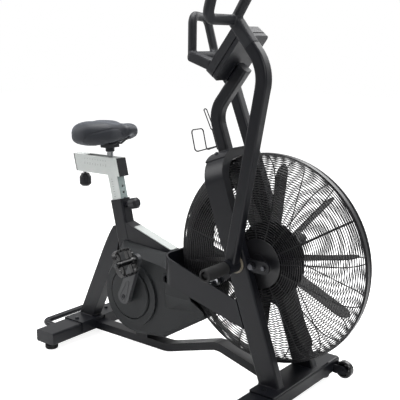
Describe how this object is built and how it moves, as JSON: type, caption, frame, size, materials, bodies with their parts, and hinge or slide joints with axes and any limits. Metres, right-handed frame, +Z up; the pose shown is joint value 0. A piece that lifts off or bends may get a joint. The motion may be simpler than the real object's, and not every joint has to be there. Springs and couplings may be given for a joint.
{
  "type": "air bike",
  "caption": "Fan exercise bike with a wire-caged fan wheel, swinging arms with loop grips, cranks and pedals, a sliding saddle and a tilted console.",
  "frame": {"origin": "on the floor under the middle of the bounding box", "axes": "+X forwards to the fan, +Y to the rider's left, +Z up"},
  "size_m": [1.4258, 0.6346, 1.4429],
  "materials": {
    "frame_paint": "satin black powder coat",
    "cover_plastic": "dark grey moulded plastic",
    "cage_wire": "black coated wire",
    "bright_steel": "plain bright steel",
    "silver_tube": "brushed silver tube",
    "grip": "soft black plastic over the grip tube",
    "black_rubber": "matt black rubber",
    "black_plastic": "matt black plastic",
    "seal": "pale bearing flange",
    "screen": "dark display window",
    "fan_paint": "black coated sheet aluminium",
    "vinyl": "black seat vinyl",
    "console_plastic": "satin dark grey plastic"
  },
  "bodies": {
    "frame": {"rear_tube": "frame_paint", "tube_caps": "black_plastic", "rear_saddle": "frame_paint", "lift_handle": "frame_paint", "feet": "black_rubber", "base_beam": "frame_paint", "front_tube": "frame_paint", "front_plate": "frame_paint", "fork_legs": "frame_paint", "fork_arch": "frame_paint", "mast_saddle": "frame_paint", "mast": "frame_paint", "mast_cap": "black_plastic", "console_front": "console_plastic", "console_back": "console_plastic", "console_screen": "screen", "bottle_cage": "cage_wire", "seat_tube": "frame_paint", "rear_stay": "frame_paint", "top_tube": "frame_paint", "top_trim": "silver_tube", "side_stay": "frame_paint", "cover_right": "cover_plastic", "cover_left": "cover_plastic", "crank_post": "frame_paint", "pivot_bearings": "seal", "guard_right": "cage_wire", "guard_left": "cage_wire", "guard_ribs": "cage_wire", "guard_rim": "cage_wire", "wind_shroud": "black_plastic", "hub_plates": "cage_wire", "fan_axle": "bright_steel", "frame_bolts": "bright_steel"},
    "fan": {"fan_wheel": "fan_paint"},
    "crank": {"crank_spindle": "bright_steel", "crank_right": "frame_paint", "crank_left": "frame_paint", "crank_discs": "cover_plastic"},
    "pedal_r": {"pedal_right": "black_plastic"},
    "pedal_l": {"pedal_left": "black_plastic"},
    "arm_r": {"arm_right": "frame_paint", "handle_right": "grip", "peg_right": "grip"},
    "arm_l": {"arm_left": "frame_paint", "handle_left": "grip", "peg_left": "grip"},
    "rod_r": {"rod_right": "bright_steel"},
    "rod_l": {"rod_left": "bright_steel"},
    "seat": {"seat_post": "silver_tube", "saddle_slide": "silver_tube", "slide_caps": "black_plastic"},
    "saddle": {"saddle_carriage": "bright_steel", "saddle_clamp": "black_plastic", "saddle_pad": "vinyl"},
    "height_pin": {"height_knob": "black_plastic"},
    "slide_lock": {"slide_knob": "black_plastic"},
    "wheel_r": {"wheel_right": "black_rubber"},
    "wheel_l": {"wheel_left": "black_rubber"}
  },
  "joints": [
    {"name": "crank_spin", "type": "hinge", "parent": "frame", "child": "crank", "pos_m": [-0.2456, 0, 0.257], "axis": [0, 1, 0], "continuous": true},
    {"name": "fan_spin", "type": "hinge", "parent": "frame", "child": "fan", "pos_m": [0.3464, 0, 0.488], "axis": [0, 1, 0], "continuous": true},
    {"name": "pedal_right_spin", "type": "hinge", "parent": "crank", "child": "pedal_r", "pos_m": [-0.18117, -0.174, 0.41648], "axis": [0, 1, 0], "continuous": true},
    {"name": "pedal_left_spin", "type": "hinge", "parent": "crank", "child": "pedal_l", "pos_m": [-0.31003, 0.174, 0.09752], "axis": [0, 1, 0], "continuous": true},
    {"name": "arm_right_swing", "type": "hinge", "parent": "frame", "child": "arm_r", "pos_m": [0.2894, -0.155, 0.488], "axis": [0, 1, 0], "range_deg": [-33, 1]},
    {"name": "arm_left_swing", "type": "hinge", "parent": "frame", "child": "arm_l", "pos_m": [0.2894, 0.155, 0.488], "axis": [0, 1, 0], "range_deg": [-1, 33]},
    {"name": "rod_right_pivot", "type": "hinge", "parent": "arm_r", "child": "rod_r", "pos_m": [0.1854, -0.102, 0.399], "axis": [0, 1, 0], "range_deg": [-1.18, 38.94]},
    {"name": "rod_left_pivot", "type": "hinge", "parent": "arm_l", "child": "rod_l", "pos_m": [0.24837, 0.102, 0.35741], "axis": [0, 1, 0], "range_deg": [-38.94, 1.18]},
    {"name": "seat_height", "type": "slide", "parent": "frame", "child": "seat", "axis": [-0.225, 0, 0.9744], "range_m": [-0.08, 0.1]},
    {"name": "saddle_reach", "type": "slide", "parent": "seat", "child": "saddle", "axis": [1, 0, 0], "range_m": [-0.11, 0]},
    {"name": "height_pin_pull", "type": "slide", "parent": "frame", "child": "height_pin", "axis": [0.9744, 0, 0.225], "range_m": [0, 0.012], "stiffness_N_per_m": 900, "springref_m": -0.005},
    {"name": "slide_lock_turn", "type": "hinge", "parent": "seat", "child": "slide_lock", "pos_m": [-0.5716, 0, 0.68], "axis": [0, 0, 1], "continuous": true},
    {"name": "wheel_right_spin", "type": "hinge", "parent": "frame", "child": "wheel_r", "pos_m": [0.5244, -0.234, 0.046], "axis": [0, 1, 0], "continuous": true},
    {"name": "wheel_left_spin", "type": "hinge", "parent": "frame", "child": "wheel_l", "pos_m": [0.5244, 0.234, 0.046], "axis": [0, 1, 0], "continuous": true}
  ],
  "couplings": [
    {"joint": "fan_spin", "follows": "crank_spin", "ratio": 6},
    {"joint": "arm_left_swing", "follows": "arm_right_swing", "ratio": -1},
    {"joint": "rod_right_pivot", "follows": "arm_right_swing", "ratio": -1.18},
    {"joint": "rod_left_pivot", "follows": "arm_right_swing", "ratio": 1.18}
  ]
}
